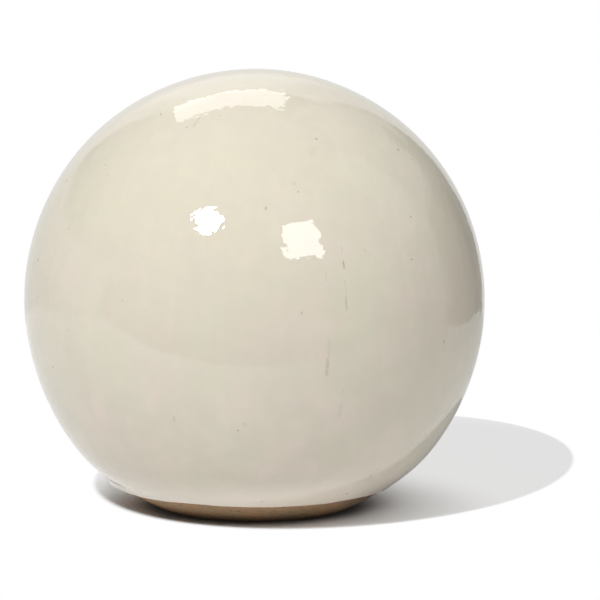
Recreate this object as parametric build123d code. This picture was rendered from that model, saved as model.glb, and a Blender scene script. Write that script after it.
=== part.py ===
from build123d import *
import math
import os

# A glazed ceramic garden ball: one hollow stoneware piece, closed at the crown, glazed down to a bare
# clay band above its flat foot, with the kiln vent hole through the floor underneath.
# Millimetres, +Z up, origin on the ground at the middle of the foot.

# Outside of the wall: four arcs that run on smoothly, at angles in degrees round from the crown
BALL_RADIUS = 150.0  # crown, sides and just past the widest line
SHOULDER_START = 100.0  # where the fuller lower shoulder begins
SHOULDER_FULLNESS = 14.0  # how much larger the shoulder's arc is than the ball's
TUCK_START = 126.0  # where the wall tucks in under the shoulder
TUCK = 55.0  # how much smaller the tuck's arc is than the ball's
FOOT_START = 142.0  # where the trimmed, flatter wall above the foot begins
FOOT_FLATNESS = 50.0  # how much larger the foot's arc is than the ball's

# Glaze: a coat that stops above the foot in a rounded lip
GLAZE_THICKNESS = 0.8  # how far the bare clay lies below the glaze
GLAZE_LINE_HEIGHT = 14.8  # bottom edge of the glaze above the ground
GLAZE_LIP_ROUNDING = 0.5

# Fired clay wall and foot
WALL_THICKNESS = 9.0
FLOOR_THICKNESS = 10.0  # clay between the turned hollow and the inside
INSIDE_CORNER_ROUNDING = 9.0
FOOT_RADIUS = 62.0  # where the wall meets the ground
FOOT_RING_WIDTH = 20.0  # flat ring that the ball stands on
TURNED_HOLLOW_DEPTH = 2.5  # how far the underside inside the ring clears the ground
FOOT_ROUNDING = 1.2  # both corners of the foot ring

# Vent hole, through the middle of the floor
VENT_RADIUS = 12.0
VENT_ROUNDING = 1.5

# ---------------------------------------------------------------------------------------------------
# The wall's arcs. A point of the section is (radius from the axis, height).


def outward(angle):
    """Direction straight out of the wall at an angle in degrees round from the crown."""
    return Vector(math.sin(math.radians(angle)), math.cos(math.radians(angle)))


def radius_angle(arc_radius, centre, reach):
    """Angle round from the crown at which the lower half of an arc is at a given radius from the axis."""
    return 180 - math.degrees(math.asin((reach - centre.X) / arc_radius))


def height_angle(arc_radius, centre, height):
    """Angle round from the crown at which an arc is at a given height."""
    return math.degrees(math.acos((height - centre.Y) / arc_radius))


shoulder_radius = BALL_RADIUS + SHOULDER_FULLNESS
tuck_radius = BALL_RADIUS - TUCK
foot_arc_radius = BALL_RADIUS + FOOT_FLATNESS
clay_arc_radius = foot_arc_radius - GLAZE_THICKNESS

# Each centre lies on the line that its arc shares with the arc before it, so the wall has no corner.
# They are first worked out from the ball's own centre.
shoulder_offset = outward(SHOULDER_START) * (BALL_RADIUS - shoulder_radius)
tuck_offset = shoulder_offset + outward(TUCK_START) * (shoulder_radius - tuck_radius)
foot_offset = tuck_offset + outward(FOOT_START) * (tuck_radius - foot_arc_radius)

# The ball stands as high as the bare clay's arc needs to reach the ground at the foot's radius
ground_angle = radius_angle(clay_arc_radius, foot_offset, FOOT_RADIUS)
ball_centre = Vector(0, -foot_offset.Y - clay_arc_radius * math.cos(math.radians(ground_angle)))
shoulder_centre = ball_centre + shoulder_offset
tuck_centre = ball_centre + tuck_offset
foot_centre = ball_centre + foot_offset

glaze_angle = height_angle(foot_arc_radius, foot_centre, GLAZE_LINE_HEIGHT)

floor_height = TURNED_HOLLOW_DEPTH + FLOOR_THICKNESS
floor_angle = height_angle(foot_arc_radius - WALL_THICKNESS, foot_centre, floor_height)


def wall_arc(centre, radius, start, end):
    """One arc of the wall, between two angles round from the crown."""
    return CenterArc(centre, radius, 90 - start, start - end)


def wall_side(depth, end):
    """The wall's four arcs at a depth below its glazed outside, from the crown to an end angle."""
    return [
        wall_arc(ball_centre, BALL_RADIUS - depth, 0, SHOULDER_START),
        wall_arc(shoulder_centre, shoulder_radius - depth, SHOULDER_START, TUCK_START),
        wall_arc(tuck_centre, tuck_radius - depth, TUCK_START, FOOT_START),
        wall_arc(foot_centre, foot_arc_radius - depth, FOOT_START, end),
    ]


# ---------------------------------------------------------------------------------------------------
# Half section: outside from the crown down to the glaze line, the bare clay, the foot, the vent, and
# back up the inside

outside = wall_side(0, glaze_angle)
inside = wall_side(WALL_THICKNESS, floor_angle)
bare_clay = wall_arc(foot_centre, clay_arc_radius, glaze_angle, ground_angle)

crown_outside = outside[0] @ 0
crown_inside = inside[0] @ 0
glaze_edge = outside[-1] @ 1
foot_outer = bare_clay @ 1
foot_inner = foot_outer - Vector(FOOT_RING_WIDTH, 0)
hollow_corner = foot_inner + Vector(0, TURNED_HOLLOW_DEPTH)
vent_bottom = Vector(VENT_RADIUS, TURNED_HOLLOW_DEPTH)
vent_top = Vector(VENT_RADIUS, floor_height)
floor_corner = inside[-1] @ 1

glaze_step = Line(glaze_edge, bare_clay @ 0)
underside = Polyline(foot_outer, foot_inner, hollow_corner, vent_bottom, vent_top, floor_corner)
axis_line = Line(crown_inside, crown_outside)

section = make_face(outside + [glaze_step, bare_clay, underside] + inside + [axis_line])


def round_corner(face, point, radius):
    """Round the section's corner at a point."""
    return fillet(face.vertices().sort_by_distance(point)[0], radius)


section = round_corner(section, glaze_edge, GLAZE_LIP_ROUNDING)
section = round_corner(section, foot_outer, FOOT_ROUNDING)
section = round_corner(section, foot_inner, FOOT_ROUNDING)
section = round_corner(section, vent_bottom, VENT_ROUNDING)
section = round_corner(section, vent_top, VENT_ROUNDING)
section = round_corner(section, floor_corner, INSIDE_CORNER_ROUNDING)

garden_ball = revolve(Plane.XZ * section, Axis.Z)

os.makedirs("parts", exist_ok=True)
export_step(garden_ball, "parts/garden_ball.step")
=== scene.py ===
import math

import bpy
import numpy as np
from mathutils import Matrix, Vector


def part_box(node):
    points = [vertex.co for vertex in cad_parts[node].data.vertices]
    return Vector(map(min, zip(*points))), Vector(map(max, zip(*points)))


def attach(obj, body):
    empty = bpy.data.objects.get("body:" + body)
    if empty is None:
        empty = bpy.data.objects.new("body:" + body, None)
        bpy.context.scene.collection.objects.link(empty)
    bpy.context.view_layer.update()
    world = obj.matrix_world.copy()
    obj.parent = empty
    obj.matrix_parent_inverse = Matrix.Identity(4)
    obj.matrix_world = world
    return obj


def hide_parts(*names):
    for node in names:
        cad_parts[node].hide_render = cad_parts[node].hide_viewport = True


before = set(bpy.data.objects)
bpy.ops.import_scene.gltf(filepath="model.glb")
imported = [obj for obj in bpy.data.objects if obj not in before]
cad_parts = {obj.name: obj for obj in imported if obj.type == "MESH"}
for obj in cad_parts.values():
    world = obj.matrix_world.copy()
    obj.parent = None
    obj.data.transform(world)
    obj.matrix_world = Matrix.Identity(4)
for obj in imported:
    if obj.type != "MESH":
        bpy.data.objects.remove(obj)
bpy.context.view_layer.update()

scene = bpy.context.scene
scene.view_settings.view_transform = "Standard"

# ---------------------------------------------------------------------------------------------------
# The ball: one hollow piece of stoneware, thrown round and closed at the crown. Its outside is dipped
# in ivory glaze, which is wiped off above the foot. It stands on a flat ring that surrounds a shallow
# turned hollow, and the kiln vent goes through the middle of the floor.

ball_low, ball_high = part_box("garden_ball")
ball_radius = (ball_high.x - ball_low.x) / 2
ball_centre = ball_high.z - ball_radius

# The wall's outside is four arcs that run on smoothly: crown and sides, shoulder, tuck and foot
arc_start = np.radians([0.0, 100.0, 126.0, 142.0])
arc_radius = ball_radius + np.array([0.0, 0.014, -0.055, 0.050])

glaze_line = 0.0148  # height of the glaze's bottom edge
glaze_thickness = 0.0008
glaze_bead = 0.00022  # how much the glaze thickens where it stops
bead_reach = 0.003  # how far up the wall it thickens
edge_band = 0.012  # the last part of the glazed wall, which has closer rows
wall_thickness = 0.009
foot_radius = 0.062
foot_ring_inner = 0.042
turned_hollow = 0.0025
inside_floor = 0.0125
vent_radius = 0.012
foot_rounding = 0.0012
hollow_rounding = 0.0006
vent_rounding = 0.0015
inside_rounding = 0.009

turns = 256  # points round the ball
wall_rows, edge_rows, lip_rows, clay_rows, inside_rows = 142, 37, 9, 24, 48
corner_points, small_corner_points, wide_corner_points = 7, 5, 9


def outward(angle):
    """Directions straight out of the wall, (radial, up) = (sin, cos) of the angle round from the crown."""
    return np.stack([np.sin(angle), np.cos(angle)], axis=-1)


# Each arc's centre is the last one's, moved along their shared normal by the difference in radius
arc_step = (arc_radius[:-1] - arc_radius[1:])[:, None] * outward(arc_start[1:])
arc_centre = np.array([0.0, ball_centre]) + np.vstack([np.zeros(2), np.cumsum(arc_step, axis=0)])


def wall(angle, depth):
    """(radius, height) of the wall at an angle round from the crown and a depth below its outside:
    the centre of the arc in force plus its radius less the depth, along the outward direction."""
    arc = np.searchsorted(arc_start, angle, side="right") - 1
    return arc_centre[arc] + (arc_radius[arc] - depth)[..., None] * outward(angle)


def wall_point(angle, depth):
    """(radius, height) of a single point of the wall, at an angle and a depth as above."""
    return wall(np.array([angle]), np.array([depth]))[0]


def angle_at_height(height, depth):
    """Angle round from the crown at which the foot's arc, less the depth, is at a height: the arc's
    cosine is the height above its centre over its radius."""
    return np.arccos((height - arc_centre[-1, 1]) / (arc_radius[-1] - depth))


def ripple(turn, orders, sizes, shifts):
    """Sum of cosines round the ball: for each order, its size times cos(order * turn + shift)."""
    return sum(size * np.cos(order * turn + shift) for order, size, shift in zip(orders, sizes, shifts))


def eased(share):
    """A share kept between 0 and 1 and eased at both ends: 3 share^2 - 2 share^3."""
    kept = np.clip(share, 0, 1)
    return kept**2 * (3 - 2 * kept)


def stretch(degrees, start, growing, end, fading):
    """Share of a form that runs part of the way round the ball: it grows over some degrees from its
    start and fades over others before its end, as one eased share times the other."""
    return eased((degrees - start) / growing) * eased((end - degrees) / fading)


def rounded(before, corner, after, radius, steps):
    """Points of the arc of the given radius that touches both lines through a corner of the section,
    swung evenly from the first line's normal to the second's."""
    into = (corner - before) / np.linalg.norm(corner - before)
    out = (after - corner) / np.linalg.norm(after - corner)
    half_turn = math.acos(np.clip(into @ out, -1, 1)) / 2
    reach = radius * math.tan(half_turn)
    start = corner - into * reach
    inward = out - into * (into @ out)
    inward = inward / np.linalg.norm(inward)
    swing = np.linspace(0, 2 * half_turn, steps)[:, None]
    return start + radius * (np.sin(swing) * into + (1 - np.cos(swing)) * inward)


def rows_of(path):
    """A path of the section that is the same all the way round, as rows of (radius, height)."""
    return np.repeat(path[:, None, :], turns, axis=1)


# Turn round the ball of each column of points, also in degrees with 0 in front and 90 to the right
turn = np.linspace(0, 2 * np.pi, turns, endpoint=False)
round_turn = (np.degrees(turn) + 180) % 360 - 180

# The glaze stops in a gently wavering line, a little higher on the right
right_rise = 0.0009
line_waver = ripple(
    turn,
    (2, 5, 9, 16, 31),
    (0.00022, 0.00030, 0.00020, 0.00010, 0.00007),
    (0.6, 2.0, 4.1, 1.2, 5.0),
)
line_waver = line_waver + right_rise * stretch(round_turn, 15, 32, 150, 50)

# On the left the glaze has run down unevenly: it stops higher there and flares out into a low roll
# along its edge, with a crease above the roll
roll_rise = 0.0024  # how far the roll's edge stands off the wall
roll_hang = 0.00036  # how much lower its lip hangs
roll_lift = 0.0036  # how much higher the glaze stops there
roll_reach_side, roll_reach_front = 0.0058, 0.0068  # how far it reaches up the wall
crease_depth = 0.0007
crease_half_width = 0.0008

# All three start at the same turn on the far side, and each ends at its own towards the front
roll_back, roll_growing = -125, 40
roll_share = stretch(round_turn, roll_back, roll_growing, -40, 47)
lift_share = stretch(round_turn, roll_back, roll_growing, -46, 32.5)
crease_share = stretch(round_turn, roll_back, roll_growing, -58.5, 5)
nearer_front = eased((round_turn + 92) / 12.5)
roll_reach = roll_reach_side + (roll_reach_front - roll_reach_side) * nearer_front
glaze_bottom = glaze_line + line_waver + roll_lift * lift_share
glaze_end = angle_at_height(glaze_bottom, 0)

# Glazed wall: even rows from the crown, then close rows over the last part, where the glaze thickens
close_part = edge_band / arc_radius[-1]
even_share = np.linspace(0, 1, wall_rows)[:, None]
close_share = np.linspace(0, 1, edge_rows)[1:, None]
glaze_angle = np.vstack([
    even_share * (glaze_end - close_part),
    glaze_end - close_part * (1 - close_share),
])
to_edge = (glaze_end - glaze_angle) * arc_radius[-1]  # distance along the wall to the glaze's edge
bead = glaze_bead * np.clip(1 - to_edge / bead_reach, 0, 1) ** 2
roll = roll_rise * roll_share * np.clip(1 - to_edge / roll_reach, 0, 1)
in_crease = crease_share * np.exp(-(((to_edge - roll_reach) / crease_half_width) ** 2))
glazed_wall = wall(glaze_angle, crease_depth * in_crease - bead - roll)

# Rounded lip: a quarter of an ellipse from the glaze's face down to the bare clay, which hangs a
# little lower under the roll
lip_turn = np.linspace(0, 0.5 * np.pi, lip_rows)[1:, None]
lip_out = glaze_bead + roll_rise * roll_share
lip_depth = -lip_out + (glaze_thickness + lip_out) * (1 - np.cos(lip_turn))
lip_hang = glaze_thickness + roll_hang * roll_share
lip_angle = glaze_end + lip_hang / arc_radius[-1] * np.sin(lip_turn)
glaze_lip = wall(lip_angle, lip_depth)

# Bare clay: from the lip down to where the foot's rounding begins, a quarter of its radius up the wall
clay_radius = arc_radius[-1] - glaze_thickness
ground_angle = np.pi - np.arcsin((foot_radius - arc_centre[-1, 0]) / clay_radius)
clay_share = np.linspace(0, 1, clay_rows)[1:, None]
clay_end = ground_angle - foot_rounding * 0.25 / clay_radius
clay_angle = lip_angle[-1:] + clay_share * (clay_end - lip_angle[-1:])
clay_wall = wall(clay_angle, glaze_thickness + 0 * clay_angle)

# Underside: the ring it stands on, the turned hollow, the vent, and the floor inside
beside = 0.02  # angle from a corner to a point of the wall that gives its direction there
ground_outer = np.array([foot_radius, 0.0])
above_ground = wall_point(ground_angle - beside, glaze_thickness)
ground_inner = np.array([foot_ring_inner, 0.0])
hollow_outer = np.array([foot_ring_inner, turned_hollow])
vent_low = np.array([vent_radius, turned_hollow])
vent_high = np.array([vent_radius, inside_floor])
floor_angle = angle_at_height(inside_floor, wall_thickness)
floor_outer = wall_point(floor_angle, wall_thickness)
up_inside = wall_point(floor_angle - beside, wall_thickness)

underside = np.vstack([
    rounded(above_ground, ground_outer, ground_inner, foot_rounding, corner_points),
    rounded(ground_outer, ground_inner, hollow_outer, foot_rounding, corner_points),
    rounded(ground_inner, hollow_outer, vent_low, hollow_rounding, small_corner_points),
    np.linspace(hollow_outer, vent_low, corner_points)[1:-1],
    rounded(hollow_outer, vent_low, vent_high, vent_rounding, corner_points),
    rounded(vent_low, vent_high, floor_outer, vent_rounding, corner_points),
    np.linspace(vent_high, floor_outer, wide_corner_points)[1:-2],
    rounded(vent_high, floor_outer, up_inside, inside_rounding, wide_corner_points),
])
inside_corner = 0.06  # angle that the rounding inside takes up
inside_share = np.linspace(1, 0, inside_rows)[1:]
inside_wall = wall(inside_share * (floor_angle - inside_corner), wall_thickness + 0 * inside_share)

section = np.concatenate([
    glazed_wall,
    glaze_lip,
    clay_wall,
    rows_of(underside),
    rows_of(inside_wall),
])
radius_grid, height_grid = section[..., 0], section[..., 1]


def waver(x, y, z):
    """How far a thrown wall stands off its true form: the sum of six long waves that cross it on a
    slant, each its size times the sine of (slope times place + phase)."""
    slopes = np.array([
        [31, 18, 44],
        [-52, 37, 23],
        [14, -61, 48],
        [70, 22, -58],
        [-35, -74, 66],
        [96, -41, 57],
    ])
    phases = np.array([0.3, 1.9, 4.4, 2.6, 5.2, 3.3])
    sizes = np.array([6.0, 5.0, 4.0, 3.0, 2.0, 1.6]) * 1e-5
    waves = np.sin(np.stack([x, y, z], axis=-1) @ slopes.T + phases)
    return waves @ sizes


x_grid = radius_grid * np.sin(turn)
y_grid = -radius_grid * np.cos(turn)

# The waver moves the outside in and out; it fades away towards the foot so that the ring stays flat
waver_low, waver_high = 0.004, 0.024  # heights between which it grows to its full size
waver_inset = 0.00015  # draws the wall in by about as much as the waver swells it
outside_rows = len(glazed_wall) + len(glaze_lip) + len(clay_wall)
standing = np.clip((height_grid - waver_low) / (waver_high - waver_low), 0, 1)
swell = standing * (waver(x_grid, y_grid, height_grid) - waver_inset)
swell[outside_rows:] = 0
from_centre = np.stack([x_grid, y_grid, height_grid - ball_centre], axis=-1)
from_centre /= np.linalg.norm(from_centre, axis=-1, keepdims=True)
points = np.stack([x_grid, y_grid, height_grid], axis=-1) + from_centre * swell[..., None]


def closed_skin(name, points):
    """A mesh over rows of points that go round an axis. The first and last rows are single points, and
    quads join each row to the next, round to the first turn again."""
    rows, around = points.shape[0] - 2, points.shape[1]
    body = points[1:-1].reshape(-1, 3)
    vertices = np.vstack([points[0, 0], body, points[-1, 0]])
    index = 1 + np.arange(rows * around).reshape(rows, around)
    after = np.roll(index, -1, axis=1)
    quads = np.stack([index[:-1], index[1:], after[1:], after[:-1]], axis=-1).reshape(-1, 4)
    first = np.stack([np.zeros(around, int), index[0], after[0]], axis=-1)
    last = np.stack([np.full(around, len(vertices) - 1), after[-1], index[-1]], axis=-1)
    mesh = bpy.data.meshes.new(name)
    mesh.from_pydata(vertices.tolist(), [], first.tolist() + quads.tolist() + last.tolist())
    mesh.update()
    return mesh


ball_mesh = closed_skin("garden_ball_skin", points)
ball = bpy.data.objects.new("glazed_ball", ball_mesh)
scene.collection.objects.link(ball)

# Glaze covers the bands of faces down to the end of the lip; all the rest is bare clay
glazed_faces = (len(glazed_wall) + len(glaze_lip) - 1) * turns
is_clay = np.ones(len(ball_mesh.polygons), dtype=np.int32)
is_clay[:glazed_faces] = 0
sharp_angle = math.radians(40)  # faces that meet at more than this keep a sharp edge
ball_mesh.polygons.foreach_set("material_index", is_clay)
ball_mesh.polygons.foreach_set("use_smooth", np.ones(len(ball_mesh.polygons), dtype=bool))
ball_mesh.set_sharp_from_angle(angle=sharp_angle)


def store_by_point(mesh, name, values):
    """A named number at every point of a mesh, from its rows of values. The first and last rows are
    single points, so each gives one number."""
    attribute = mesh.attributes.new(name, "FLOAT", "POINT")
    in_order = np.concatenate([values[0, :1], values[1:-1].ravel(), values[-1, :1]])
    attribute.data.foreach_set("value", in_order)


# Height above the glaze's bottom edge, for the finishes that follow the edge
store_by_point(ball_mesh, "above_line", height_grid - glaze_bottom)

# Painted shade in the crease, and a thin wash of it over the roll below
roll_painted_shade = 0.2 * crease_share * (to_edge < roll_reach)
crease_painted_shade = np.zeros_like(height_grid)
crease_painted_shade[:len(glazed_wall)] = in_crease + roll_painted_shade * (1 - in_crease)
store_by_point(ball_mesh, "in_crease", crease_painted_shade)


def new_material(name):
    """An empty node material with its Principled shader, and the node tree to build on."""
    material = bpy.data.materials.new(name)
    material.use_nodes = True
    tree = material.node_tree
    return material, tree, tree.nodes["Principled BSDF"]


def add(tree, kind, inputs=None, **settings):
    """A node of a kind, with its settings, and its inputs given as values or as sockets to link."""
    node = tree.nodes.new(kind)
    for key, value in settings.items():
        setattr(node, key, value)
    for key, value in (inputs or {}).items():
        if isinstance(value, bpy.types.NodeSocket):
            tree.links.new(value, node.inputs[key])
        else:
            node.inputs[key].default_value = value
    return node


def calc(tree, operation, *values):
    """Output of a Math node: the operation on its values, each a number or a socket."""
    return add(tree, "ShaderNodeMath", dict(enumerate(values)), operation=operation).outputs[0]


def fade(tree, value, start, end, low=0.0, high=1.0):
    """Output of a Map Range node: low up to the start, high from the end on, and smooth between them."""
    sockets = {"Value": value, "From Min": start, "From Max": end, "To Min": low, "To Max": high}
    return add(tree, "ShaderNodeMapRange", sockets, interpolation_type="SMOOTHSTEP").outputs["Result"]


def blend(tree, factor, below, above):
    """Output of a colour Mix node: the colour above laid over the one below by the factor."""
    node = add(tree, "ShaderNodeMix", {0: factor}, data_type="RGBA")
    for index, colour in ((6, below), (7, above)):
        if isinstance(colour, bpy.types.NodeSocket):
            tree.links.new(colour, node.inputs[index])
        else:
            node.inputs[index].default_value = (*colour, 1)
    return node.outputs[2]


def laid(tree, place, group, **values):
    """The mask that a node group gives, laid on a material at a place and with its own values."""
    inputs = {socket.replace("_", " "): value for socket, value in values.items()}
    return add(tree, "ShaderNodeGroup", {"Place": place, **inputs}, node_tree=group).outputs["Mask"]


def new_group(name, inputs, outputs):
    """A node group with named sockets, as (tree, its input sockets, its output sockets)."""
    tree = bpy.data.node_groups.new(name, "ShaderNodeTree")
    for socket, kind, default in inputs:
        made = tree.interface.new_socket(socket, in_out="INPUT", socket_type=kind)
        if default is not None:
            made.default_value = default
    for socket, kind in outputs:
        tree.interface.new_socket(socket, in_out="OUTPUT", socket_type=kind)
    return tree, tree.nodes.new("NodeGroupInput").outputs, tree.nodes.new("NodeGroupOutput").inputs


VECTOR, FLOAT = "NodeSocketVector", "NodeSocketFloat"

# Kiln cloud: soft patches, as a mask from 0 to 1, as firing leaves on glaze and clay alike
cloud, cloud_in, cloud_out = new_group(
    "kiln_cloud",
    [("Place", VECTOR, None), ("Scale", FLOAT, 12.0), ("Softness", FLOAT, 0.2)],
    [("Mask", FLOAT)],
)
cloud_noise = add(
    cloud, "ShaderNodeTexNoise",
    {"Vector": cloud_in["Place"], "Scale": cloud_in["Scale"], "Detail": 3.0, "Roughness": 0.55},
)
cloud_mask = fade(
    cloud, cloud_noise.outputs["Fac"],
    calc(cloud, "SUBTRACT", 0.5, cloud_in["Softness"]),
    calc(cloud, "ADD", 0.5, cloud_in["Softness"]),
)
cloud.links.new(cloud_mask, cloud_out["Mask"])

# Grit: round specks strewn at random, as a mask, from cells of which only a share hold a speck. A
# speck is full to half its size and fades out a little past it
grit, grit_in, grit_out = new_group(
    "grit",
    [("Place", VECTOR, None), ("Scale", FLOAT, 80.0), ("Size", FLOAT, 0.05), ("Share", FLOAT, 0.5)],
    [("Mask", FLOAT)],
)
grit_cells = add(grit, "ShaderNodeTexVoronoi", {"Vector": grit_in["Place"], "Scale": grit_in["Scale"]})
grit_spot = fade(
    grit, grit_cells.outputs["Distance"],
    calc(grit, "MULTIPLY", grit_in["Size"], 0.5),
    calc(grit, "MULTIPLY", grit_in["Size"], 1.2),
    1.0, 0.0,
)
grit_draw = add(grit, "ShaderNodeSeparateColor", {0: grit_cells.outputs["Color"]}).outputs[0]
grit_kept = calc(grit, "LESS_THAN", grit_draw, grit_in["Share"])
grit.links.new(calc(grit, "MULTIPLY", grit_spot, grit_kept), grit_out["Mask"])

# Bare clay: ochre, with pinker and greyer patches from the fire, fine grit, turning rings and pits,
# darker towards the right, and with painted shade near the ground where the foot meets the floor
clay_ochre, clay_pink, clay_grey = (0.415, 0.252, 0.132), (0.54, 0.29, 0.155), (0.37, 0.265, 0.150)
clay_grit, clay_pit_shade, clay_dark_brown = (0.25, 0.16, 0.09), (0.10, 0.065, 0.04), (0.13, 0.08, 0.05)
grain_depth, pit_depth = 0.00012, 0.0003
ring_depth = 0.00003
ring_wave = 3600.0  # radians of the turning rings' wave to a metre, so they are 1.7 mm apart

clay_material, clay, clay_shader = new_material("bare_clay")
clay_place = add(clay, "ShaderNodeTexCoord").outputs["Object"]
clay_axes = add(clay, "ShaderNodeSeparateXYZ", {0: clay_place}).outputs
clay_warmth = laid(clay, clay_place, cloud, Scale=26.0, Softness=0.16)
clay_shade = blend(clay, clay_warmth, clay_ochre, clay_pink)
clay_smoke = laid(clay, clay_place, cloud, Scale=75.0, Softness=0.20)
clay_shade = blend(clay, clay_smoke, clay_shade, clay_grey)
clay_specks = laid(clay, clay_place, cloud, Scale=420.0, Softness=0.12)
clay_shade = blend(clay, calc(clay, "MULTIPLY", clay_specks, 0.35), clay_shade, clay_grit)
# Pits, painted dark inside as shade in their hollows
clay_pits = laid(clay, clay_place, grit, Scale=190.0, Size=0.16, Share=0.5)
clay_shade = blend(clay, calc(clay, "MULTIPLY", clay_pits, 0.75), clay_shade, clay_pit_shade)
# Darker towards the right
clay_right_darkening = fade(clay, clay_axes["X"], 0.048, 0.070, 0.0, 0.65)
clay_shade = blend(clay, clay_right_darkening, clay_shade, clay_dark_brown)
# Painted shade near the ground, where the foot meets the floor
clay_ground_shade = fade(clay, clay_axes["Z"], 0.0, 0.007, 0.55, 0.0)
clay_shade = blend(clay, clay_ground_shade, clay_shade, clay_dark_brown)
clay.links.new(clay_shade, clay_shader.inputs["Base Color"])

clay_wear = laid(clay, clay_place, cloud, Scale=140.0, Softness=0.25)
clay_rough = fade(clay, clay_wear, 0.0, 1.0, 0.68, 0.9)
clay.links.new(clay_rough, clay_shader.inputs["Roughness"])

ring_phase = calc(clay, "MULTIPLY", clay_axes["Z"], ring_wave)
clay_rings = calc(clay, "MULTIPLY", calc(clay, "SINE", ring_phase), ring_depth)
clay_grain = laid(clay, clay_place, cloud, Scale=900.0, Softness=0.35)
clay_relief = calc(clay, "ADD", clay_rings, calc(clay, "MULTIPLY", clay_grain, grain_depth))
clay_relief = calc(clay, "SUBTRACT", clay_relief, calc(clay, "MULTIPLY", clay_pits, pit_depth))
clay_bump = add(clay, "ShaderNodeBump", {"Strength": 1.0, "Distance": 1.0, "Height": clay_relief})
clay.links.new(clay_bump.outputs["Normal"], clay_shader.inputs["Normal"])

# A mark in the glaze: a short stroke at a turn about the ball (0 in front, 90 to the right) and an
# angle down from the crown, leaning by some degrees, with its half length and half width. Its edge
# wanders, and it is fainter in patches
mark_wander = 0.0007
mark, mark_in, mark_out = new_group(
    "glaze_mark",
    [
        ("Place", VECTOR, None),
        ("Turn", FLOAT, 0.0),
        ("Down", FLOAT, 90.0),
        ("Lean", FLOAT, 0.0),
        ("Half Length", FLOAT, 0.002),
        ("Half Width", FLOAT, 0.0004),
        ("Strength", FLOAT, 1.0),
    ],
    [("Mask", FLOAT)],
)


def turned_about(axis, vector, degrees):
    """A vector turned inside the mark's group about an axis by a number of degrees."""
    angle = calc(mark, "RADIANS", degrees)
    inputs = {"Vector": vector, "Angle": angle}
    return add(mark, "ShaderNodeVectorRotate", inputs, rotation_type=axis).outputs[0]


# The ball is turned until the mark is in front, level and upright; then it is a stroke along Z
mark_place = add(
    mark, "ShaderNodeVectorMath",
    {0: mark_in["Place"], 1: (0, 0, ball_centre)},
    operation="SUBTRACT",
).outputs[0]
mark_place = turned_about("Z_AXIS", mark_place, calc(mark, "MULTIPLY", mark_in["Turn"], -1.0))
mark_place = turned_about("X_AXIS", mark_place, calc(mark, "SUBTRACT", 90.0, mark_in["Down"]))
mark_place = turned_about("Y_AXIS", mark_place, calc(mark, "MULTIPLY", mark_in["Lean"], -1.0))
mark_axes = add(mark, "ShaderNodeSeparateXYZ", {0: mark_place}).outputs
mark_noise = add(
    mark, "ShaderNodeTexNoise", {"Vector": mark_in["Place"], "Scale": 600.0, "Detail": 2.0},
).outputs["Fac"]
mark_shift = calc(mark, "MULTIPLY", calc(mark, "SUBTRACT", mark_noise, 0.5), mark_wander)
mark_aside = calc(mark, "ADD", mark_axes["X"], mark_shift)
mark_along = calc(mark, "ABSOLUTE", mark_axes["Z"])
mark_beyond = calc(mark, "MAXIMUM", calc(mark, "SUBTRACT", mark_along, mark_in["Half Length"]), 0.0)
mark_square = calc(
    mark, "ADD",
    calc(mark, "MULTIPLY", mark_aside, mark_aside),
    calc(mark, "MULTIPLY", mark_beyond, mark_beyond),
)
mark_reach = calc(mark, "MULTIPLY", mark_in["Half Width"], 2.0)
mark_spot = fade(mark, calc(mark, "SQRT", mark_square), 0.0, mark_reach, 1.0, 0.0)
mark_patch = add(
    mark, "ShaderNodeTexNoise", {"Vector": mark_in["Place"], "Scale": 330.0, "Detail": 1.0},
).outputs["Fac"]
mark_spot = calc(mark, "MULTIPLY", mark_spot, fade(mark, mark_patch, 0.35, 0.6, 0.45, 1.0))
mark_in_front = calc(mark, "LESS_THAN", mark_axes["Y"], -0.1)
mark_kept = calc(mark, "MULTIPLY", mark_in_front, mark_in["Strength"])
mark.links.new(calc(mark, "MULTIPLY", mark_spot, mark_kept), mark_out["Mask"])

# Glaze: glossy ivory in faintly warmer, greener and greyer clouds, made paler towards its edge by painted
# light from the floor and palest in its lip, with iron specks, pinholes, two broken hairlines, and the
# slightly wavy skin that dipping leaves
glaze_ivory, glaze_warm = (0.714, 0.670, 0.546), (0.750, 0.656, 0.565)
glaze_green, glaze_grey = (0.728, 0.690, 0.542), (0.690, 0.644, 0.532)
glaze_smudged, glaze_streak = (0.662, 0.618, 0.512), (0.680, 0.638, 0.522)
glaze_bounce_pale, glaze_lip_pale = (0.900, 0.822, 0.712), (0.82, 0.73, 0.64)
iron_brown, crease_shade_brown = (0.20, 0.155, 0.11), (0.33, 0.30, 0.25)
glaze_refraction = 1.55
peel_depth, dimple_depth = 0.00014, 0.00012  # of the glaze's wavy skin
pinhole_depth, mark_depth = 0.00012, 0.00015

glaze_material, glaze, glaze_shader = new_material("ivory_glaze")
glaze_place = add(glaze, "ShaderNodeTexCoord").outputs["Object"]
glaze_axes = add(glaze, "ShaderNodeSeparateXYZ", {0: glaze_place}).outputs
glaze_across, glaze_up = glaze_axes["X"], glaze_axes["Z"]

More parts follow.
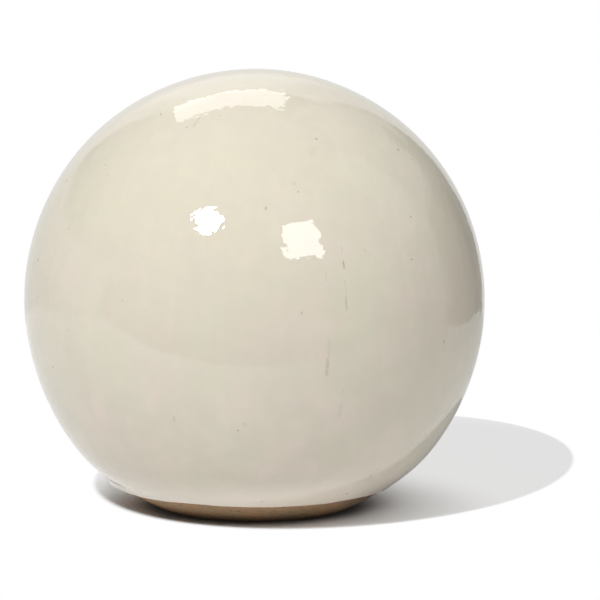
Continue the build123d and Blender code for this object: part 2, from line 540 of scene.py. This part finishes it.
# The marks, by turn, down, lean, half length and half width in millimetres, and strength
glaze_marks = [
    (22, 72, -2, 2.0, 0.4, 0.20),
    (22, 75.5, -2, 2.2, 0.45, 0.65),
    (22, 80.5, -3, 4.5, 0.5, 0.15),
    (22, 84.5, -2, 4.2, 0.5, 0.36),
    (17.3, 78, 0, 2.7, 0.5, 0.15),
    (17.7, 95, 2, 4.4, 0.6, 0.15),
    (17.5, 99.3, 3, 5.0, 0.9, 0.34),
    (22, 106, 0, 1.6, 0.5, 0.18),
    (22, 111, 3, 4.0, 1.2, 0.12),
    (11, 86.4, 0, 0.2, 0.6, 0.75),
    (28.3, 72.4, -50, 0.8, 0.4, 0.40),
    (22.4, 42, -40, 0.4, 0.5, 1.0),
    (19.3, 46, 10, 1.8, 2.6, 0.10),
    (55.5, 47, -60, 0.3, 0.6, 0.90),
    (11.3, 55, 0, 0.2, 0.9, 0.30),
    (-24, 36.2, 8, 4.6, 0.5, 0.42),
    (-70, 78, 0, 0.2, 0.7, 0.90),
    (-72, 57.5, 20, 0.5, 0.6, 0.60),
    (-45, 34, -30, 0.5, 0.6, 0.60),
    (3, 61.4, 15, 0.7, 0.5, 0.50),
    (52.5, 96, 0, 0.4, 0.7, 0.45),
    (-21, 113, 5, 0.8, 0.8, 0.45),
    (-2.5, 113.8, -20, 0.6, 0.9, 0.30),
    (35.6, 139.3, 45, 1.8, 0.35, 0.80),
    (37.0, 139.6, -45, 1.0, 0.3, 0.50),
]

# Iron specks strewn all over, and the marks among them
glaze_stain = laid(glaze, glaze_place, grit, Scale=85.0, Size=0.045, Share=0.45)
for at_turn, at_down, lean, half_length, half_width, strength in glaze_marks:
    stroke = laid(
        glaze, glaze_place, mark,
        Turn=at_turn, Down=at_down, Lean=lean,
        Half_Length=half_length / 1000, Half_Width=half_width / 1000, Strength=strength,
    )
    glaze_stain = calc(glaze, "MAXIMUM", glaze_stain, stroke)

# Clouds: warmer ones all over, greener ones towards the crown, and small grey ones
glaze_warmth = laid(glaze, glaze_place, cloud, Scale=21.0, Softness=0.13)
glaze_shade = blend(glaze, glaze_warmth, glaze_ivory, glaze_warm)
glaze_broad = laid(glaze, glaze_place, cloud, Scale=9.0, Softness=0.3)
glaze_upper = calc(glaze, "MULTIPLY", fade(glaze, glaze_up, 0.10, 0.22), glaze_broad)
glaze_shade = blend(glaze, glaze_upper, glaze_shade, glaze_green)
glaze_small = laid(glaze, glaze_place, cloud, Scale=70.0, Softness=0.2)
glaze_shade = blend(glaze, calc(glaze, "MULTIPLY", glaze_small, 0.5), glaze_shade, glaze_grey)

# Smudges of dirt, mostly low down, and faint upright runs where the glaze flowed
glaze_low = fade(glaze, glaze_up, 0.05, 0.15, 0.55, 0.15)
glaze_smudge = laid(glaze, glaze_place, cloud, Scale=34.0, Softness=0.12)
glaze_shade = blend(glaze, calc(glaze, "MULTIPLY", glaze_smudge, glaze_low), glaze_shade, glaze_smudged)
glaze_flow = add(
    glaze, "ShaderNodeVectorMath", {0: glaze_place, 1: (1.0, 1.0, 0.12)}, operation="MULTIPLY",
).outputs[0]
glaze_runs = add(
    glaze, "ShaderNodeTexNoise", {"Vector": glaze_flow, "Scale": 150.0, "Detail": 2.0},
).outputs["Fac"]
glaze_shade = blend(glaze, fade(glaze, glaze_runs, 0.45, 0.65, 0.0, 0.30), glaze_shade, glaze_streak)

# Paler towards the bottom edge, most of all in front: painted light bounced up from the floor; palest in
# the lip
glaze_above = add(glaze, "ShaderNodeAttribute", attribute_name="above_line").outputs["Fac"]
glaze_near_edge = fade(glaze, glaze_above, 0.003, 0.024, 0.95, 0.0)
glaze_off_left = fade(glaze, glaze_across, -0.09, 0.02, 0.3, 1.0)
glaze_off_right = fade(glaze, glaze_across, 0.058, 0.078, 1.0, 0.42)
glaze_floor_bounce = calc(glaze, "MULTIPLY", glaze_near_edge, glaze_off_left)
glaze_floor_bounce = calc(glaze, "MULTIPLY", glaze_floor_bounce, glaze_off_right)
glaze_shade = blend(glaze, glaze_floor_bounce, glaze_shade, glaze_bounce_pale)
glaze_in_lip = fade(glaze, glaze_above, 0.0002, 0.0012, 0.85, 0.0)
glaze_shade = blend(glaze, glaze_in_lip, glaze_shade, glaze_lip_pale)

# Specks and marks, and the painted shade in the crease, over it all
glaze_shade = blend(glaze, calc(glaze, "MULTIPLY", glaze_stain, 0.8), glaze_shade, iron_brown)
glaze_crease_shade = add(glaze, "ShaderNodeAttribute", attribute_name="in_crease").outputs["Fac"]
glaze_shade = blend(glaze, calc(glaze, "MULTIPLY", glaze_crease_shade, 0.8), glaze_shade, crease_shade_brown)
glaze.links.new(glaze_shade, glaze_shader.inputs["Base Color"])

glaze_shader.inputs["IOR"].default_value = glaze_refraction
glaze_haze = laid(glaze, glaze_place, cloud, Scale=45.0, Softness=0.3)
glaze_rough = fade(glaze, glaze_haze, 0.0, 1.0, 0.02, 0.045)
glaze.links.new(glaze_rough, glaze_shader.inputs["Roughness"])

glaze_peel = add(
    glaze, "ShaderNodeTexNoise",
    {"Vector": glaze_place, "Scale": 170.0, "Detail": 1.0, "Roughness": 0.5},
).outputs["Fac"]
glaze_dimple = add(
    glaze, "ShaderNodeTexNoise", {"Vector": glaze_place, "Scale": 60.0, "Detail": 1.0},
).outputs["Fac"]
glaze_holes = laid(glaze, glaze_place, grit, Scale=120.0, Size=0.05, Share=0.4)
glaze_skin = calc(glaze, "MULTIPLY", glaze_peel, peel_depth)
glaze_skin = calc(glaze, "ADD", glaze_skin, calc(glaze, "MULTIPLY", glaze_dimple, dimple_depth))
glaze_skin = calc(glaze, "SUBTRACT", glaze_skin, calc(glaze, "MULTIPLY", glaze_holes, pinhole_depth))
glaze_skin = calc(glaze, "SUBTRACT", glaze_skin, calc(glaze, "MULTIPLY", glaze_stain, mark_depth))
glaze_bump = add(glaze, "ShaderNodeBump", {"Strength": 1.0, "Distance": 1.0, "Height": glaze_skin})
glaze.links.new(glaze_bump.outputs["Normal"], glaze_shader.inputs["Normal"])

ball_mesh.materials.append(glaze_material)
ball_mesh.materials.append(clay_material)

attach(ball, "root")
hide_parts("garden_ball")

# ---------------------------------------------------------------------------------------------------
# Floor: the flat front of a wide sheet of white paper, on which the ball stands. Seen directly it fades
# to pure white away from the ball, so that only the ball's own shadow shows on it.

paper_front, paper_back, paper_left = -0.38, 0.83, -1.2
paper_right_front, paper_right_back = 0.90, 0.68
floor_mesh = bpy.data.meshes.new("floor_paper")
floor_mesh.from_pydata(
    [
        (paper_left, paper_front, 0),
        (paper_right_front, paper_front, 0),
        (paper_right_back, paper_back, 0),
        (paper_left, paper_back, 0),
    ],
    [],
    [(0, 1, 2, 3)],
)
floor = bpy.data.objects.new("floor_paper", floor_mesh)
scene.collection.objects.link(floor)

paper_brightness, paper_dimming = 0.85, 0.26  # the glaze mirrors it dimmer than it is
shadow_middle, shadow_turn = (0.059, 0.1465, 0), math.radians(-18.2)
shadow_half_widths = (0.1612, 0.2435, 1)

floor_material = bpy.data.materials.new("white_paper")
floor_material.use_nodes = True
paper = floor_material.node_tree
paper.nodes.clear()
paper_ray = add(paper, "ShaderNodeLightPath").outputs
paper_seen = calc(paper, "MAXIMUM", paper_ray["Is Camera Ray"], paper_ray["Is Glossy Ray"])
paper_place = add(paper, "ShaderNodeTexCoord").outputs["Object"]
paper_across = add(paper, "ShaderNodeSeparateXYZ", {0: paper_place}).outputs["X"]

# Matt paper, darker close round the foot: a painted shadow where hardly any light gets in under the ball
paper_reach = add(
    paper, "ShaderNodeVectorMath", {0: paper_place}, operation="LENGTH",
).outputs["Value"]
# Mirrored in the glaze the matt paper is dimmer: a painted darkening of its reflection
paper_dimmed = calc(paper, "MULTIPLY", paper_ray["Is Glossy Ray"], paper_dimming)
paper_white = calc(paper, "SUBTRACT", paper_brightness, paper_dimmed)
paper_foot_shadow = fade(paper, paper_reach, 0.062, 0.084, 0.32, 1.0)
paper_white = calc(paper, "MULTIPLY", paper_foot_shadow, paper_white)
paper_matt = add(paper, "ShaderNodeBsdfDiffuse", {"Color": paper_white}).outputs[0]

# The ball's shadow is an ellipse, lifted by painted light away from the foot; outside, the paper is pure
# white
shadow_place = add(
    paper, "ShaderNodeMapping",
    {
        "Vector": paper_place,
        "Location": shadow_middle,
        "Rotation": (0, 0, shadow_turn),
        "Scale": shadow_half_widths,
    },
    vector_type="TEXTURE",
).outputs[0]
shadow_off = add(
    paper, "ShaderNodeVectorMath", {0: shadow_place}, operation="LENGTH",
).outputs["Value"]
paper_bare = calc(paper, "MULTIPLY", fade(paper, shadow_off, 0.96, 1.0), paper_seen)
shadow_paling_share = fade(paper, paper_reach, 0.075, 0.17, 0.0, 0.52)
shadow_painted_paling = calc(paper, "MULTIPLY", shadow_paling_share, paper_ray["Is Camera Ray"])
paper_pure = calc(paper, "MAXIMUM", paper_bare, shadow_painted_paling)

# Seen directly, pure white; mirrored in the glaze, a painted glow, dimmer towards the right where less
# light falls
paper_mirrored = fade(paper, paper_across, -0.25, 0.65, 0.98, 0.50)
paper_strength = calc(paper, "MAXIMUM", paper_ray["Is Camera Ray"], paper_mirrored)
paper_glow = add(
    paper, "ShaderNodeEmission", {"Color": (1, 1, 1, 1), "Strength": paper_strength},
).outputs[0]
paper_mix = add(paper, "ShaderNodeMixShader", {0: paper_pure, 1: paper_matt, 2: paper_glow})
add(paper, "ShaderNodeOutputMaterial", {"Surface": paper_mix.outputs[0]})
floor_mesh.materials.append(floor_material)

# ---------------------------------------------------------------------------------------------------
# Studio: the white paper rises behind the ball, a pale wall is on the left, and the rest of the room is
# dim. The camera sees white; reflections and soft light come from the room's own panels.

# One panel of the room: a mask over directions, by the turn about the ball (0 in front, 90 to the
# right) and the rise above the floor, both in degrees, with a soft edge
panel_tree, panel_in, panel_out = new_group(
    "room_panel",
    [
        ("Direction", VECTOR, None),
        ("Turn", FLOAT, 0.0),
        ("Rise", FLOAT, 0.0),
        ("Half Turn", FLOAT, 20.0),
        ("Half Rise", FLOAT, 20.0),
        ("Edge", FLOAT, 3.0),
    ],
    [("Mask", FLOAT)],
)
panel_axes = add(panel_tree, "ShaderNodeSeparateXYZ", {0: panel_in["Direction"]}).outputs
panel_front = calc(panel_tree, "MULTIPLY", panel_axes["Y"], -1.0)
panel_turn = calc(panel_tree, "ARCTAN2", panel_axes["X"], panel_front)
panel_away = calc(panel_tree, "SUBTRACT", calc(panel_tree, "DEGREES", panel_turn), panel_in["Turn"])
panel_round = calc(panel_tree, "ABSOLUTE", calc(panel_tree, "WRAP", panel_away, 180.0, -180.0))
panel_rise = calc(panel_tree, "DEGREES", calc(panel_tree, "ARCSINE", panel_axes["Z"]))
panel_above = calc(panel_tree, "ABSOLUTE", calc(panel_tree, "SUBTRACT", panel_rise, panel_in["Rise"]))
panel_outside = calc(
    panel_tree, "MAXIMUM",
    calc(panel_tree, "SUBTRACT", panel_round, panel_in["Half Turn"]),
    calc(panel_tree, "SUBTRACT", panel_above, panel_in["Half Rise"]),
)
panel_mask = fade(
    panel_tree, panel_outside,
    calc(panel_tree, "MULTIPLY", panel_in["Edge"], -0.5),
    calc(panel_tree, "MULTIPLY", panel_in["Edge"], 0.5),
    1.0, 0.0,
)
panel_tree.links.new(panel_mask, panel_out["Mask"])

world = bpy.data.worlds.new("studio")
scene.world = world
world.use_nodes = True
room = world.node_tree
room.nodes.clear()
room_direction = add(room, "ShaderNodeTexCoord").outputs["Generated"]

# Each panel lies over the ones before it: name, turn, rise, half turn, half rise, edge, brightness.
# The ceiling's half turn takes it all the way round
room_panels = [
    ("front_left", -35, 38, 45, 24, 10, 0.25),
    ("front_right", 45, 38, 37, 24, 10, 0.48),
    ("front_low", 4, 2, 80, 13, 4, 0.31),
    ("left", -118, 38, 38, 24, 10, 0.32),
    ("left_low", -118, 3, 38, 13, 6, 0.75),
    ("right_near_low", 96, 6, 15, 17, 4, 0.35),
    ("right_far_low", 131, 6, 18.5, 17, 4, 0.05),
    ("right_near_high", 96, 42, 15, 20, 6, 0.78),
    ("right_far_high", 133, 42, 24, 20, 6, 0.50),
    ("right_far_point", 145, 22, 5, 9, 5, 0.15),
    ("ceiling", 0, 90, 400, 29, 8, 0.28),
    ("backdrop", -177, 19, 25, 28, 3, 0.82),
    ("backdrop_high", -175, 33, 13, 12, 9, 1.12),
]
room_colour = (0.21, 0.21, 0.21)  # the dim room between the panels
for name, at_turn, at_rise, half_turn, half_rise, edge, brightness in room_panels:
    panel = add(
        room, "ShaderNodeGroup",
        {
            "Direction": room_direction,
            "Turn": at_turn,
            "Rise": at_rise,
            "Half Turn": half_turn,
            "Half Rise": half_rise,
            "Edge": edge,
        },
        node_tree=panel_tree,
        name=name,
    )
    room_colour = blend(room, panel.outputs["Mask"], room_colour, (brightness,) * 3)

room_ray = add(room, "ShaderNodeLightPath")
room_light = add(room, "ShaderNodeBackground", {"Color": room_colour, "Strength": 1.0})
room_white = add(room, "ShaderNodeBackground", {"Color": (1, 1, 1, 1), "Strength": 1.0})
room_mix = add(
    room, "ShaderNodeMixShader",
    {0: room_ray.outputs["Is Camera Ray"], 1: room_light.outputs[0], 2: room_white.outputs[0]},
)
add(room, "ShaderNodeOutputWorld", {"Surface": room_mix.outputs[0]})

ball_middle = Vector((0, 0, ball_centre))


def toward(turn, rise):
    """Direction from the ball at a turn (0 in front, 90 to the right) and a rise, both in degrees:
    (sin turn cos rise, -cos turn cos rise, sin rise)."""
    t, e = math.radians(turn), math.radians(rise)
    return Vector((math.sin(t) * math.cos(e), -math.cos(t) * math.cos(e), math.sin(e)))


def softbox(name, shape, width, height, power):
    """A flat lamp of a shape, size and power, facing straight down, that the camera doesn't see."""
    data = bpy.data.lights.new(name, "AREA")
    data.shape = shape
    data.size, data.size_y = width, height
    data.energy = power
    lamp = bpy.data.objects.new(name, data)
    lamp.visible_camera = False
    scene.collection.objects.link(lamp)
    return lamp


def aim_at_ball(thing, direction, distance):
    """Stands a lamp or the camera off the ball's middle in a direction, facing it."""
    thing.location = ball_middle + direction * distance
    thing.rotation_mode = "QUATERNION"
    thing.rotation_quaternion = direction.to_track_quat("Z", "Y")


# The key lamp is high on the left, and the fill lamp is lower on the right
aim_at_ball(softbox("key_softbox", "ELLIPSE", 0.46, 0.42, 25), toward(-28.5, 42.5), 2.0)
aim_at_ball(softbox("fill_softbox", "RECTANGLE", 0.58, 0.58, 6.8), toward(25.9, 33.3), 2.0)

# The strip hangs level over the floor behind the ball
strip = softbox("strip_softbox", "RECTANGLE", 0.94, 0.61, 3.7)
strip.location = (-0.215, 0.95, ball_centre + 1.5)

# ---------------------------------------------------------------------------------------------------
# Camera: a long lens, a little above the ball's middle and in front of it. Its shift sets the ball left
# of the middle of the view, so that the shadow on the right is in it.

camera_distance = 2.10
camera_rise = 7.0
camera_data = bpy.data.cameras.new("camera")
camera_data.sensor_width = 36
camera_data.lens = 193.2
camera_data.shift_x = 0.0757
camera_data.shift_y = -0.0018
camera = bpy.data.objects.new("camera", camera_data)
aim_at_ball(camera, toward(0.0, camera_rise), camera_distance)
scene.collection.objects.link(camera)
scene.camera = camera
